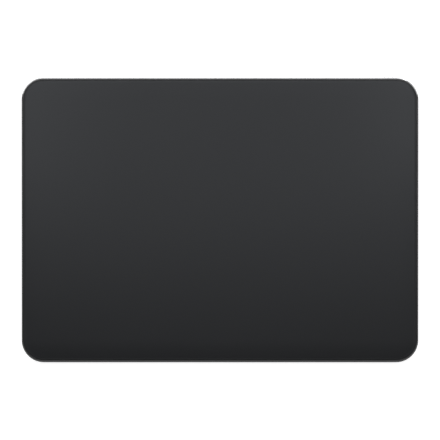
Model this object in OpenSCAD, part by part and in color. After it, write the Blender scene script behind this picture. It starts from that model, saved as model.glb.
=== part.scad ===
// Desk trackpad. A wedge-shaped metal housing carries a floating glass touch plate on four leaf
// flexures. A magnetic drive under the plate gives the click, and a charging port and a power
// switch sit in the back wall. Millimetres, +X right, +Y back, +Z up, origin on the desk under
// the middle of the body.

/* [Body] */
// Width of the body, left to right
body_w = 160; // [150:0.5:190]
// Depth of the body, front to back
body_d = 114.9; // [108:0.1:130]
// Height of the top face above the desk at the front edge
front_h = 4.9; // [4.7:0.1:6.5]
// Height of the top face above the desk at the back edge
rear_h = 10.9; // [10.4:0.1:14]
// Radius of the four corners, seen from above
corner_r = 9; // [7:0.5:11]
// Thickness of the front and side walls
side_wall_t = 1.6; // [1.3:0.1:2]
// Thickness of the back wall
rear_wall_t = 2.2; // [2:0.1:2.8]
// Thickness of the floor
floor_t = 0.7; // [0.6:0.05:0.9]
// Round along the bottom edge of the walls
edge_r = 1.6; // [0.8:0.1:2.2]
// Width of the metal rim at the left and right of the glass
rim_w = 0.55; // [0.5:0.05:0.8]
// Width of the metal rim in front of and behind the glass
rim_end_w = 0.95; // [0.8:0.05:1.2]
// Chamfer on the outer edge of the rim
rim_chamfer = 0.35; // [0.2:0.05:0.45]

/* [Touch plate] */
// Running gap between the glass and the rim at the left and right
glass_gap = 0.3; // [0.25:0.05:0.4]
// Gap between the glass and the rim at the front and back
glass_end_gap = 0.2; // [0.2:0.05:0.35]
// Thickness of the glass
glass_t = 0.9; // [0.7:0.05:1]
// Width of the shallow crown along the edge of the glass
glass_crown_w = 6.8; // [4:0.2:7]
// How far the middle of the glass stands above the rim
glass_crown_h = 0.15; // [0.1:0.05:0.2]
// Width of the rolled edge of the glass
glass_edge_w = 0.9; // [0.5:0.1:1.5]
// Drop of the rolled edge of the glass
glass_edge_drop = 0.2; // [0.1:0.05:0.3]
// Thickness of the adhesive between glass and sensor board
bond_t = 0.1; // [0.05:0.05:0.15]
// Thickness of the touch sensor board
sensor_t = 0.5; // [0.4:0.05:0.6]
// Gap between the sensor board and the housing walls
sensor_gap = 0.6; // [0.5:0.1:1.5]
// Thickness of the steel stiffener under the sensor board
stiffener_t = 0.3; // [0.2:0.05:0.4]
// Distance of the stiffener's edge inside the edge of the sensor board
stiffener_inset = 1.5; // [1:0.5:3]
// Width of the stiffener's left and right borders
stiffener_side = 14; // [12:0.5:18]
// Width of the stiffener's front and back borders
stiffener_end = 8; // [5:0.5:10]
// Width of the stiffener's ribs
stiffener_rib = 6; // [4:0.5:9]
// Size of the touch controller chips, square
sensor_chip_w = 7; // [5:0.5:9]
// Height of the touch controller chips
sensor_chip_h = 0.8; // [0.6:0.1:1]
// How far the plate sinks when it is pressed
press_travel = 0.25; // [0.15:0.05:0.3]
// How far the plate is driven to each side of rest by the haptic drive
haptic_travel = 0.1; // [0.05:0.05:0.15]

/* [Flexures] */
// Distance of the load points from the left and right sides
flexure_inset_x = 10; // [9:0.5:14]
// Distance of the load points from the front and back
flexure_inset_y = 17; // [16:0.25:18]
// Thickness of the flexure steel
flexure_t = 0.4; // [0.3:0.05:0.5]
// Radius of the flexure's round tip
flexure_tip_r = 4.5; // [4:0.25:5]
// Distance from the load point to the line of the two screws
flexure_reach = 14; // [12:0.5:16]
// Length of the flexure's root plate
flexure_root_l = 10; // [8:0.5:11]
// Width of the flexure's root plate
flexure_root_w = 11; // [10:0.5:12]
// Width of the flexure's bending neck
flexure_neck_w = 5; // [3.5:0.5:6]
// Distance between the two screws of a flexure
flexure_screw_gap = 6.4; // [6:0.2:7]
// Radius of the gel pads on the tips
pad_r = 4; // [3:0.25:4]
// Thickness of the gel pads
pad_t = 0.7; // [0.65:0.05:0.8]
// Length of the strain gauges
gauge_l = 3.4; // [2.5:0.1:4]
// Width of the strain gauges
gauge_w = 3; // [2:0.1:3.4]
// Thickness of the strain gauges
gauge_t = 0.08; // [0.05:0.01:0.12]

/* [Underside] */
// Height of the body's underside above the desk
foot_h = 0.6; // [0.4:0.1:0.8]
// Thickness of the bottom cover
cover_t = 0.6; // [0.5:0.05:0.7]
// Thickness of the adhesive that holds the bottom cover
cover_glue_t = 0.1; // [0.05:0.05:0.15]
// Width of the metal border round the bottom cover
cover_inset = 3; // [2.6:0.1:6]
// Gap round the bottom cover
cover_gap = 0.1; // [0.05:0.05:0.2]
// Radius of the rubber feet
foot_r = 4.5; // [3:0.5:6]
// Depth of the feet in the bottom cover
foot_seat = 0.3; // [0.2:0.05:0.4]
// Round on the lower edge of the feet
foot_edge_r = 0.35; // [0.2:0.05:0.4]
// Distance of the feet from the left and right sides
foot_inset_x = 14; // [11:0.5:20]
// Distance of the feet from the front and back
foot_inset_y = 12; // [11:0.5:20]

/* [Back wall] */
// Height of the port and the switch above the desk
rear_z = 5.2; // [5:0.1:5.8]
// Width of the port's metal shell
port_w = 8.94; // [8.9:0.02:9]
// Height of the port's metal shell
port_h = 3.16; // [3.1:0.02:3.2]
// Length of the port's metal shell
port_l = 7.3; // [6.5:0.1:8]
// Wall of the port's metal shell
port_wall = 0.3; // [0.2:0.05:0.3]
// How far the port's mouth lies inside the back face
port_recess = 0.3; // [0.1:0.05:0.6]
// Width of the tongue in the port
tongue_w = 6.69; // [6.6:0.01:6.8]
// Thickness of the tongue in the port
tongue_t = 0.7; // [0.6:0.02:0.8]
// Length of the tongue in the port
tongue_l = 4.45; // [4:0.05:4.8]
// Distance of the switch knob at rest from the right side
switch_inset = 11.9; // [11.9:0.1:20]
// Travel of the switch knob
switch_travel = 2.6; // [2:0.1:3.5]
// Length of the switch knob
knob_l = 5.2; // [4.6:0.1:5.4]
// Height of the switch knob
knob_h = 2.4; // [2:0.1:3]
// Depth of the recess that the knob slides in
switch_recess = 1.3; // [1:0.05:1.4]
// Distance between the knob's ridges
ridge_pitch = 1.62; // [1:0.02:1.7]

/* [Battery and boards] */
// Width of the battery cell
battery_w = 86; // [70:1:87]
// Depth of the battery cell
battery_d = 32; // [26:0.5:34]
// Thickness of the battery cell
battery_t = 3.4; // [2.6:0.1:3.6]
// Depth of the battery's sealed edge
battery_seal = 3.4; // [3:0.1:4]
// Width of the main board
board_w = 84; // [80:0.5:88]
// Depth of the main board
board_d = 16; // [15:0.5:17]
// Thickness of the boards
board_t = 0.8; // [0.6:0.1:1]
// Height of the raised electronic parts on the main board
chip_h = 1; // [0.8:0.1:1.2]
// Height of the connectors on the main board
connector_h = 0.9; // [0.7:0.1:1.1]
// Thickness of the flat cables
flex_t = 0.15; // [0.1:0.01:0.2]

/* [Haptic drive] */
// Width of the drive's bracket
haptic_w = 72; // [68:1:80]
// Depth of the drive's bracket
haptic_d = 20; // [18.5:0.5:22]
// Thickness of the drive's bracket
bracket_t = 0.4; // [0.3:0.05:0.5]
// Number of poles on the core
pole_count = 4; // [2:1:4]
// Distance between the poles
pole_pitch = 15; // [13:0.5:16]
// Width of a pole
pole_w = 7; // [5:0.5:8]
// Length of a pole
pole_l = 7; // [6:0.5:8]
// Thickness of a pole
pole_t = 1.2; // [0.8:0.1:1.4]
// Thickness of the wire wound on a pole
coil_t = 0.45; // [0.3:0.05:0.5]
// Air gap between the poles and the steel rail
air_gap = 0.35; // [0.25:0.05:0.5]
// Depth of the steel rail on the plate
rail_d = 3; // [2:0.25:4]

/* [Hidden] */
$fn = 48;
// Longer than anything in the part
span = 400;

// Slope of the top face, and its height over the origin
tilt = atan((rear_h - front_h) / body_d);
mid_h = (front_h + rear_h) / 2;
deck_d = body_d / cos(tilt);

// Levels above the desk
glue_z = foot_h + cover_t;
floor_under_z = glue_z + cover_glue_t;
floor_z = floor_under_z + floor_t;

// Inside of the housing, in plan
cavity_w = body_w - 2 * side_wall_t;
cavity_front = -body_d / 2 + side_wall_t;
cavity_rear = body_d / 2 - rear_wall_t;
cavity_d = cavity_rear - cavity_front;
cavity_y = (cavity_rear + cavity_front) / 2;
cavity_r = corner_r - side_wall_t;

// Glass, and the layers under it as depths below the top face
glass_w = body_w - 2 * (rim_w + glass_gap);
glass_d = deck_d - 2 * (rim_end_w + glass_end_gap);
glass_corner_gap = (glass_gap + glass_end_gap) / 2;
glass_r = corner_r - (rim_w + rim_end_w) / 2 - glass_corner_gap;
crown_facets = 1440;
ledge_gap = 0.2;
ledge_depth = glass_t + press_travel + ledge_gap;
bond_inset = 1.5;
sensor_depth = glass_t + bond_t + sensor_t;
plate_depth = sensor_depth + stiffener_t;
flexure_top_depth = plate_depth + pad_t;
flexure_depth = flexure_top_depth + flexure_t;
sensor_w = cavity_w - 2 * sensor_gap;
sensor_d = cavity_d / cos(tilt) - 2 * sensor_gap;
sensor_v = cavity_y / cos(tilt);
sensor_r = cavity_r - sensor_gap;

// Screws: low heads, with a running gap in the holes they pass and a fine gap in their threads
screw_r = 0.6;
screw_head_r = 1.3;
screw_head_h = 0.3;
screw_pass_gap = 0.25;
thread_gap = 0.02;
thread_l = 1;
boss_r = 2;
fit_gap = 0.15;

// Load points and feet, in plan
flexure_x = body_w / 2 - flexure_inset_x;
flexure_y = body_d / 2 - flexure_inset_y;
foot_x = body_w / 2 - foot_inset_x;
foot_y = body_d / 2 - foot_inset_y;

// Port, along Y
port_mouth_y = body_d / 2 - port_recess;
port_back_y = port_mouth_y - port_l;
port_block_l = 2;
contact_count = 12;
contact_pitch = 0.5;
contact_w = 0.25;
contact_t = 0.06;
contact_l = 3.2;
port_ear_l = 1.2;
port_ear_t = 0.3;

// Main board, level, behind the battery
board_wall_gap = 0.5;
board_rear = cavity_rear - board_wall_gap;
board_front = board_rear - board_d;
board_under_z = rear_z - 1;
board_z = board_under_z + board_t;
board_screw_x = board_w / 2 - 8;
board_screw_inset = 2.5;
port_notch_gap = 0.3;
can_w = 22;
can_d = 10;
can_wall = 0.2;
can_inset = 22;
can_x = can_inset - board_w / 2;
can_y = board_front + 7.5;

// Battery, in front of the board
battery_gap = 1;
cable_gap = 0.05;
battery_glue_t = flex_t + cable_gap;
battery_glue_w = 46;
battery_glue_d = 8;
battery_rear = board_front - battery_gap - battery_seal;
battery_front = battery_rear - battery_d;
battery_y = (battery_rear + battery_front) / 2;
battery_z = floor_z + battery_glue_t;
battery_edge_r = 0.8;
battery_corner_r = 2;
seal_t = 0.3;
seal_z = battery_z + battery_t / 2 - seal_t / 2;
battery_board_w = 34;
battery_board_z = seal_z + seal_t;
battery_board_t = 0.6;
battery_lead_w = 8;

// Haptic drive, in front of the battery
haptic_gap = 2;
haptic_rear = battery_front - haptic_gap;
haptic_front = haptic_rear - haptic_d;
bracket_z = floor_z + bracket_t;
core_bar_d = 3.5;
core_front = haptic_front + 2.5;
pole_front = core_front + core_bar_d;
pole_tip = pole_front + pole_l;
coil_gap = 0.05;
coil_side_gap = 0.4;
pole_z = bracket_z + coil_gap + coil_t + fit_gap;
core_w = (pole_count - 1) * pole_pitch + pole_w + 2;
rail_y = pole_tip + air_gap;
rail_w = core_w;
haptic_screw_x = haptic_w / 2 - 2.5;
haptic_screw_inset = 2.5;

// Flat cables, and the plugs that they end in
tape_w = 2.4;
tape_tab = 4;
riser_run = 2.6;
flexure_root_x = flexure_x - flexure_reach - flexure_root_l / 2;
gauge_tape_gap = 1.6;
gauge_tape_x = flexure_root_x - gauge_tape_gap - tape_w / 2;
gauge_tape_y = board_front + 8;
plug_d = 3;
haptic_cable_x = -27;
haptic_plug_y = board_front + 8;
haptic_step = 0.8;
haptic_rise = 4;
sensor_flex_x = 11;
sensor_flex_w = 12;
sensor_plug_y = board_front + 8;
sensor_tab = 3;
sensor_rise = 5;

// Power switch: the slot's centre lies half a travel from the knob
knob_x = body_w / 2 - switch_inset;
slot_x = knob_x - switch_travel / 2;
slot_l = knob_l + switch_travel + 2 * fit_gap;
slot_h = knob_h + 2 * fit_gap;
recess_y = body_d / 2 - switch_recess;
knob_back_y = recess_y + fit_gap;
knob_face_y = body_d / 2 - 0.1;
ridge_r = 0.3;
ridge_sink = 0.05;
ridge_count = 3;
ridge_l = knob_h - 0.8;
stem_l = 2;
stem_h = 1.2;
carriage_l = 4.2;
carriage_h = 3.4;
carriage_t = 1.1;
carriage_y = cavity_rear - fit_gap - carriage_t;
frame_wall = 0.6;
frame_l = carriage_l + switch_travel + 2 * (fit_gap + frame_wall);
frame_y = carriage_y - fit_gap - frame_wall;
frame_top_z = rear_z + carriage_h / 2 + fit_gap + frame_wall;
pin_w = 1;
pin_l = 1.5;
block_l = switch_travel + pin_w + 3;
block_h = 2.8;
block_d = pin_l + 0.5;
block_y = frame_y - block_d;
switch_flex_h = 1.6;
indicator_t = 0.08;

// Antenna, in the left back corner
antenna_w = 16;
antenna_d = 5;
antenna_t = 0.2;
antenna_x = -body_w / 2 + side_wall_t + 9;
antenna_y = cavity_rear - fit_gap - antenna_d;
antenna_window_inset = 1;
lead_r = 0.4;
lead_gap = 0.05;

// Height of the top face at depth y in plan
function deck_z(y) = mid_h + y * tan(tilt);
// Distance along the slope of a point at depth y in plan
function deck_v(y) = y / cos(tilt);

// Places its children on the sloping top face, at a height w over it
module on_deck(w = 0) {
    translate([0, 0, mid_h]) rotate([tilt, 0, 0]) translate([0, 0, w]) children();
}

// All the space under the sloping plane at a depth below the top face
module under_deck(depth) {
    on_deck(-depth) translate([-span / 2, -span / 2, -span]) cube(span);
}

// All the space over the level plane at height z
module over_level(z) {
    translate([-span / 2, -span / 2, z]) cube(span);
}

// Sweeps a profile round a rounded rectangle. The profile's x runs outwards from the corner centres.
module rounded_ring(w, d, r) {
    for (sx = [0, 1], sy = [0, 1]) mirror([sx, 0, 0]) mirror([0, sy, 0])
        translate([w / 2 - r, d / 2 - r, 0]) rotate_extrude(angle = 90) children();
    for (s = [0, 1]) mirror([s, 0, 0])
        translate([w / 2 - r, d / 2 - r, 0]) rotate([90, 0, 0]) linear_extrude(d - 2 * r) children();
    for (s = [0, 1]) mirror([0, s, 0])
        translate([r - w / 2, d / 2 - r, 0]) rotate([90, 0, 90]) linear_extrude(w - 2 * r) children();
}

// A slab whose edge has the profile that is given, h high
module profiled_slab(w, d, r, h) {
    rounded_ring(w, d, r) children();
    translate([r - w / 2, r - d / 2, 0]) cube([w - 2 * r, d - 2 * r, h]);
}

// A plain slab with round corners, standing on z = 0
module slab(w, d, r, h) {
    profiled_slab(w, d, r, h) square([r, h]);
}

// A rectangle of width r and height h with its lower outer corner rounded
module lower_round(r, h, round_r) {
    difference() {
        square([r, h]);
        translate([r - round_r, 0]) difference() {
            square(round_r);
            translate([0, round_r]) circle(round_r);
        }
    }
}

// A block centred in X and Y, standing on z = 0
module block(w, d, h) {
    translate([-w / 2, -d / 2, 0]) cube([w, d, h]);
}

// A bar of stadium section that runs along +Y, with its long side along X
module stadium_bar(w, h, l) {
    translate([(h - w) / 2, 0, -h / 2]) cube([w - h, l, h]);
    for (s = [0, 1]) mirror([s, 0, 0]) translate([(w - h) / 2, 0, 0])
        rotate([-90, -90, 0]) rotate_extrude(angle = 180) square([h / 2, l]);
}

// A strip whose side view follows points [along, height], swept across its width
module ribbon(path, width) {
    back = [for (i = [len(path) - 1:-1:0]) path[i] + [0, flex_t]];
    translate([0, width / 2, 0]) rotate([90, 0, 0]) linear_extrude(width) polygon(concat(path, back));
}

// A low screw, its head standing on z = 0 and its shank pointing down
module screw(shank_l) {
    difference() {
        union() {
            cylinder(r = screw_head_r, h = screw_head_h);
            translate([0, 0, -shank_l]) cylinder(r = screw_r, h = shank_l);
        }
        translate([0, 0, screw_head_h / 3]) cylinder(r = screw_head_r / 2, h = screw_head_h, $fn = 6);
    }
}

// Places its children at a load point, with +X pointing out to the nearer side
module at_load_point(sx, sy, depth) {
    on_deck(-depth) translate([sx * flexure_x, deck_v(sy * flexure_y), 0])
        mirror([sx < 0 ? 1 : 0, 0, 0]) children();
}

// Places its children at the two screws of a flexure
module at_flexure_screws(sx, sy, depth) {
    at_load_point(sx, sy, depth) for (s = [-1, 1])
        translate([-flexure_reach, s * flexure_screw_gap / 2, 0]) children();
}

// Places its children at the main board's four screws
module at_board_screws(z) {
    for (sx = [-1, 1], y = [board_front + board_screw_inset, board_rear - board_screw_inset])
        translate([sx * board_screw_x, y, z]) children();
}

// Places its children at the haptic bracket's four screws
module at_haptic_screws(z) {
    for (sx = [-1, 1], y = [haptic_front + haptic_screw_inset, haptic_rear - haptic_screw_inset])
        translate([sx * haptic_screw_x, y, z]) children();
}

// Places its children at each pole of the haptic core
module at_poles() {
    for (i = [0:pole_count - 1]) translate([(i - (pole_count - 1) / 2) * pole_pitch, 0, 0]) children();
}

// HOUSING

// The solid wedge: upright walls, a round along the bottom edge, a sloping top
module wedge() {
    difference() {
        translate([0, 0, foot_h]) profiled_slab(body_w, body_d, corner_r, rear_h)
            lower_round(corner_r, rear_h, edge_r);
        on_deck() translate([-span / 2, -span / 2, 0]) cube(span);
        on_deck() rounded_ring(body_w, deck_d, corner_r) polygon([
            [corner_r - 2 * rim_chamfer, rim_chamfer],
            [corner_r + rim_chamfer, -2 * rim_chamfer],
            [corner_r + rim_chamfer, rim_chamfer]
        ]);
    }
}

// The space inside the walls, over the floor
module cavity() {
    translate([0, cavity_y, floor_z]) slab(cavity_w, cavity_d, cavity_r, rear_h);
}

// Posts that stand on the floor and carry the flexures and the main board
module housing_posts() {
    for (sx = [-1, 1], sy = [-1, 1]) intersection() {
        at_flexure_screws(sx, sy, flexure_depth) translate([0, 0, -rear_h]) cylinder(r = boss_r, h = rear_h);
        over_level(floor_under_z + floor_t / 2);
    }
    at_board_screws(floor_under_z + floor_t / 2)
        cylinder(r = boss_r, h = board_under_z - floor_z + floor_t / 2);
}

// Threads for every screw that is driven into the housing
module housing_threads() {
    for (sx = [-1, 1], sy = [-1, 1])
        at_flexure_screws(sx, sy, flexure_depth + thread_l) cylinder(r = screw_r + thread_gap, h = rear_h);
    at_board_screws(board_under_z - thread_l) cylinder(r = screw_r + thread_gap, h = rear_h);
    at_haptic_screws(floor_under_z - 1) cylinder(r = screw_r + thread_gap, h = floor_t + 2);
}

// Port opening and switch slot in the back wall
module back_wall_openings() {
    translate([0, cavity_rear - 1, rear_z])
        stadium_bar(port_w + 2 * fit_gap, port_h + 2 * fit_gap, rear_wall_t + 2);
    translate([slot_x, recess_y, rear_z]) stadium_bar(slot_l, slot_h, switch_recess + 1);
    translate([slot_x, cavity_rear - 1, rear_z - stem_h / 2 - fit_gap])
        translate([-(stem_l + switch_travel) / 2 - fit_gap, 0, 0])
        cube([stem_l + switch_travel + 2 * fit_gap, rear_wall_t, stem_h + 2 * fit_gap]);
}

module housing() color("#3a3b3e") difference() {
    union() {
        difference() {
            wedge();
            cavity();
            on_deck(-ledge_depth) slab(glass_w + 2 * glass_gap, glass_d + 2 * glass_end_gap,
                glass_r + glass_corner_gap, rear_h);
        }
        housing_posts();
    }
    translate([0, 0, floor_under_z - rear_h])
        slab(body_w - 2 * cover_inset, body_d - 2 * cover_inset, corner_r - cover_inset, rear_h);
    housing_threads();
    back_wall_openings();
    translate([antenna_x + antenna_window_inset, antenna_y + antenna_window_inset, floor_under_z - 1])
        cube([antenna_w - 2 * antenna_window_inset, antenna_d - 2 * antenna_window_inset, floor_t + 2]);
}

// UNDERSIDE

// A sheet of the bottom cover's outline, drawn in by an inset, standing on z = 0
module cover_sheet(inset, h) {
    border = cover_inset + inset;
    slab(body_w - 2 * border, body_d - 2 * border, corner_r - border, h);
}

module bottom_cover() color("#2b2c2e") difference() {
    translate([0, 0, foot_h]) cover_sheet(cover_gap, cover_t);
    for (sx = [-1, 1], sy = [-1, 1]) translate([sx * foot_x, sy * foot_y, foot_h - 1])
        cylinder(r = foot_r + cover_gap, h = foot_seat + 1);
}

module cover_adhesive() color("#16171a") translate([0, 0, glue_z])
    cover_sheet(cover_gap, cover_glue_t);

module foot(sx, sy) color("#1d1d1f") translate([sx * foot_x, sy * foot_y, 0])
    rotate_extrude() lower_round(foot_r, foot_h + foot_seat, foot_edge_r);

module foot_front_left() foot(-1, -1);
module foot_front_right() foot(1, -1);
module foot_rear_left() foot(-1, 1);
module foot_rear_right() foot(1, 1);

// TOUCH PLATE

// Side view of the glass edge: a shallow crown falls from the flat top and a tighter roll takes over from it
module glass_edge_profile() {
    crown_w = min(glass_crown_w, glass_r - glass_edge_w / 2);
    crown_r = (crown_w * crown_w + glass_crown_h * glass_crown_h) / (2 * glass_crown_h);
    roll_r = (glass_edge_w * glass_edge_w + glass_edge_drop * glass_edge_drop) / (2 * glass_edge_drop);
    roll_start = glass_r - glass_edge_w;
    crown_slope = asin((crown_w - glass_edge_w) / crown_r);
    crown_centre = [glass_r - crown_w, glass_t + glass_crown_h - crown_r];
    difference() {
        square([roll_start, glass_t + glass_crown_h]);
        translate([glass_r - crown_w, glass_t - glass_edge_drop]) difference() {
            square([crown_w, glass_edge_drop + glass_crown_h + 1]);
            translate([0, glass_edge_drop + glass_crown_h - crown_r]) circle(crown_r, $fn = crown_facets);
        }
    }
    intersection() {
        translate([roll_start, 0]) square([glass_edge_w, glass_t + glass_crown_h]);
        translate(crown_centre + (crown_r - roll_r) * [sin(crown_slope), cos(crown_slope)]) circle(roll_r);
    }
}

module touch_glass() color("#2a2b2d") on_deck(-glass_t)
    profiled_slab(glass_w, glass_d, glass_r, glass_t + glass_crown_h) glass_edge_profile();

module glass_adhesive() color("#151618") on_deck(-glass_t - bond_t) translate([0, sensor_v, 0])
    slab(sensor_w - 2 * bond_inset, sensor_d - 2 * bond_inset, sensor_r - bond_inset, bond_t);

module sensor_board() color("#123a2a") on_deck(-sensor_depth) translate([0, sensor_v, 0])
    slab(sensor_w, sensor_d, sensor_r, sensor_t);

// Outline of the stiffener, along the slope
stiffener_w = sensor_w - 2 * stiffener_inset;
stiffener_d = sensor_d - 2 * stiffener_inset;
rib_v = deck_v(rail_y + rail_d / 2);
window_x = stiffener_w / 2 - stiffener_side;
window_front = sensor_v - stiffener_d / 2 + stiffener_end;
window_rear = sensor_v + stiffener_d / 2 - stiffener_end;
window_count = 3;
window_w = (2 * window_x - (window_count - 1) * stiffener_rib) / window_count;

// Places a window of the stiffener for each column, from v0 to v1
module stiffener_windows(v0, v1) {
    for (i = [0:window_count - 1]) translate([-window_x + i * (window_w + stiffener_rib), v0, -1])
        cube([window_w, v1 - v0, stiffener_t + 2]);
}

module stiffener_frame() color("#a9abae") on_deck(-plate_depth) difference() {
    translate([0, sensor_v, 0]) slab(stiffener_w, stiffener_d, sensor_r - stiffener_inset, stiffener_t);
    stiffener_windows(window_front, rib_v - stiffener_rib / 2);
    stiffener_windows(rib_v + stiffener_rib / 2, window_rear);
}

module sensor_chips() color("#1a1a1c") on_deck(-sensor_depth - sensor_chip_h)
    for (i = [0:window_count - 1])
        translate([(i - (window_count - 1) / 2) * (window_w + stiffener_rib), window_front + window_w / 3, 0])
        block(sensor_chip_w, sensor_chip_w, sensor_chip_h);

module drive_rail() color("#8d8f92") intersection() {
    translate([-rail_w / 2, rail_y, pole_z]) cube([rail_w, rail_d, rear_h]);
    under_deck(plate_depth);
}

// Flat cable that rises from its plug on the main board to the sensor board
module sensor_cable() color("#b5762a") intersection() {
    plug_v = deck_v(sensor_plug_y);
    low = -(deck_z(sensor_plug_y) - board_z - connector_h) * cos(tilt);
    high = -sensor_depth - flex_t;
    tab = plug_d / 2;
    on_deck() translate([sensor_flex_x, 0, 0]) rotate([0, 0, 90])
        ribbon([
            [plug_v - tab - sensor_rise - sensor_tab, high],
            [plug_v - tab - sensor_rise, high],
            [plug_v - tab, low],
            [plug_v + tab, low]
        ], sensor_flex_w);
    over_level(board_z + connector_h);
}

module gel_pads() color("#7c8fa0") for (sx = [-1, 1], sy = [-1, 1])
    at_load_point(sx, sy, flexure_top_depth) cylinder(r = pad_r, h = pad_t);

// FLEXURES

module flexure(sx, sy) color("#b9bbbe") difference() {
    at_load_point(sx, sy, flexure_depth) {
        cylinder(r = flexure_tip_r, h = flexure_t);
        translate([-flexure_reach, -flexure_neck_w / 2, 0]) cube([flexure_reach, flexure_neck_w, flexure_t]);
        translate([-flexure_reach, 0, 0]) slab(flexure_root_l, flexure_root_w, 1.5, flexure_t);
    }
    at_flexure_screws(sx, sy, flexure_depth + 1) cylinder(r = screw_r + screw_pass_gap, h = flexure_t + 2);
}

module flexure_front_left() flexure(-1, -1);
module flexure_front_right() flexure(1, -1);
module flexure_rear_left() flexure(-1, 1);
module flexure_rear_right() flexure(1, 1);

module flexure_screws() color("#6f7174") for (sx = [-1, 1], sy = [-1, 1])
    at_flexure_screws(sx, sy, flexure_top_depth) screw(flexure_t + thread_l - fit_gap);

// The gauges lie on the necks, between the root plate and the pad
gauge_x = -(flexure_reach - flexure_root_l / 2 + pad_r) / 2;

module strain_gauges() color("#c98f3a") for (sx = [-1, 1], sy = [-1, 1])
    at_load_point(sx, sy, flexure_top_depth) translate([gauge_x, 0, 0]) block(gauge_l, gauge_w, gauge_t);

// A flat cable lies on the root plate from the gauge inwards, then slopes to a level z
module gauge_tail(sx, sy, run, z) {
    drop = deck_z(sy * flexure_y) - z;
    foot = -flexure_reach - flexure_root_l / 2 - run;
    intersection() {
        at_load_point(sx, sy, 0) ribbon([
            [foot - tape_tab, -drop * cos(tilt)],
            [foot, -drop * cos(tilt)],
            [-flexure_reach - flexure_root_l / 2 - fit_gap, -flexure_top_depth],
            [gauge_x - gauge_l / 2, -flexure_top_depth]
        ], tape_w);
        over_level(z);
    }
}

module front_gauge_cables() color("#b5762a") for (sx = [-1, 1]) {
    gauge_tail(sx, -1, gauge_tape_gap, floor_z);
    translate([sx * gauge_tape_x - tape_w / 2, -flexure_y - tape_w / 2, floor_z])
        cube([tape_w, flexure_y + gauge_tape_y + tape_w, flex_t]);
    gauge_riser(sx);
}

// The flat cable turns inwards from its run on the floor, and slopes up on to the main board
module gauge_riser(sx) {
    edge = board_w / 2 + fit_gap;
    riser_foot = edge + riser_run;
    inner = min(riser_foot, gauge_tape_x - tape_w / 2);
    outer = max(riser_foot + tape_w, gauge_tape_x + tape_w / 2);
    translate([0, gauge_tape_y, 0]) mirror([sx < 0 ? 1 : 0, 0, 0]) {
        ribbon([
            [board_w / 2 - tape_tab, board_z],
            [edge, board_z],
            [riser_foot, floor_z],
            [riser_foot + tape_w, floor_z]
        ], tape_w);
        translate([inner, -tape_w / 2, floor_z]) cube([outer - inner, tape_w, flex_t]);
    }
}

module rear_gauge_cables() color("#b5762a") for (sx = [-1, 1])
    gauge_tail(sx, 1, flexure_root_x - board_w / 2, board_z);

// HAPTIC DRIVE

module haptic_bracket() color("#97999c") difference() {
    translate([0, (haptic_front + haptic_rear) / 2, floor_z]) slab(haptic_w, haptic_d, 2, bracket_t);
    at_haptic_screws(floor_z - 1) cylinder(r = screw_r + screw_pass_gap, h = bracket_t + 2);
}

module haptic_core() color("#5d5f63") {
    translate([-core_w / 2, core_front, bracket_z]) cube([core_w, core_bar_d, pole_z - bracket_z + pole_t]);
    at_poles() translate([-pole_w / 2, core_front, pole_z]) cube([pole_w, core_bar_d + pole_l, pole_t]);
}

// One winding: a block with round edges along the pole, and the pole's hole through it
module haptic_coils() color("#b87333") at_poles() difference() {
    outer_w = pole_w + 2 * (coil_gap + coil_t);
    outer_h = pole_t + 2 * (coil_gap + coil_t);
    translate([0, pole_front + coil_side_gap, pole_z + pole_t / 2]) rotate([-90, 0, 0])
        slab(outer_w, outer_h, coil_t, pole_l - 2 * coil_side_gap);
    translate([-pole_w / 2 - coil_gap, core_front, pole_z - coil_gap])
        cube([pole_w + 2 * coil_gap, core_bar_d + pole_l + 1, pole_t + 2 * coil_gap]);
}

module haptic_screws() color("#6f7174") at_haptic_screws(bracket_z) screw(bracket_t + floor_t);

// Flat cable from the drive's bracket, on the floor under the battery, to a plug under the main board
module haptic_cable() color("#b5762a") {
    step = haptic_rear + fit_gap;
    plug = haptic_plug_y - plug_d / 2;
    plug_z = board_under_z - connector_h - flex_t;
    translate([haptic_cable_x, 0, 0]) rotate([0, 0, 90]) ribbon([
        [haptic_rear - tape_tab / 2, bracket_z],
        [step, bracket_z],
        [step + haptic_step, floor_z],
        [plug - haptic_rise, floor_z],
        [plug, plug_z],
        [plug + plug_d, plug_z]
    ], tape_w);
}

// BATTERY

// Side view of the cell's rounded edge
module cell_edge_profile() {
    half = battery_t / 2;
    for (s = [0, 1]) translate([0, half, 0]) mirror([0, s]) translate([0, -half])
        lower_round(battery_corner_r, half, battery_edge_r);
}

module battery_cell() color("#3d4044") {
    translate([0, battery_y, battery_z])
        profiled_slab(battery_w, battery_d, battery_corner_r, battery_t) cell_edge_profile();
    translate([-battery_w / 2 + battery_corner_r, battery_rear - battery_corner_r, seal_z])
        cube([battery_w - 2 * battery_corner_r, battery_seal + battery_corner_r, seal_t]);
}

module battery_adhesive() color("#d8d8d4") for (s = [-1, 1])
    translate([0, battery_y + s * battery_d / 4, floor_z])
    block(battery_glue_w, battery_glue_d, battery_glue_t);

module battery_board() color("#0f4a33") translate([0, battery_rear + fit_gap, battery_board_z])
    translate([-battery_board_w / 2, 0, 0])
    cube([battery_board_w, battery_seal - 2 * fit_gap, battery_board_t]);

// Flat cable from the battery's own board up on to the main board
module battery_cable() color("#b5762a") {
    start_z = battery_board_z + battery_board_t;
    rotate([0, 0, 90]) ribbon([
        [battery_rear + 2 * fit_gap, start_z],
        [battery_rear + battery_seal - 2 * fit_gap, start_z],
        [board_front - fit_gap, max(board_z, start_z)],
        [board_front + tape_tab, max(board_z, start_z)]
    ], battery_lead_w);
}

// MAIN BOARD

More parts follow.
